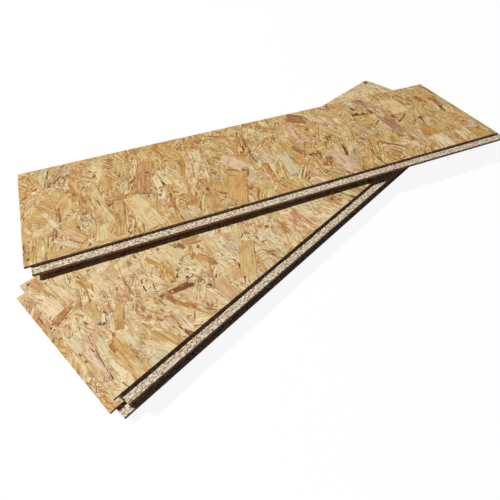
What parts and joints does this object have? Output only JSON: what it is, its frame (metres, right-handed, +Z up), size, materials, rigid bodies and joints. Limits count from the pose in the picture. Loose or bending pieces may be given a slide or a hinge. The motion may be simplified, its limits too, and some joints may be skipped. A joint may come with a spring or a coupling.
{
  "type": "stack of tongued and grooved OSB panels",
  "caption": "Loose stack of oriented strand board loft panels with tongue and groove long edges and lapped ends, two nearly in line and one laid across them",
  "frame": {"origin": "under the middle of the whole stack, on the floor that the bottom panel lies on", "axes": "+X along the middle panel, +Y from its tongue edge to its groove edge, +Z up"},
  "size_m": [1.2994, 0.7946, 0.066],
  "materials": {
    "osb": "pressed wood strands, milled edges, unsealed"
  },
  "bodies": {
    "root": {"bottom_panel": "osb", "middle_panel": "osb", "top_panel": "osb"}
  },
  "joints": []
}
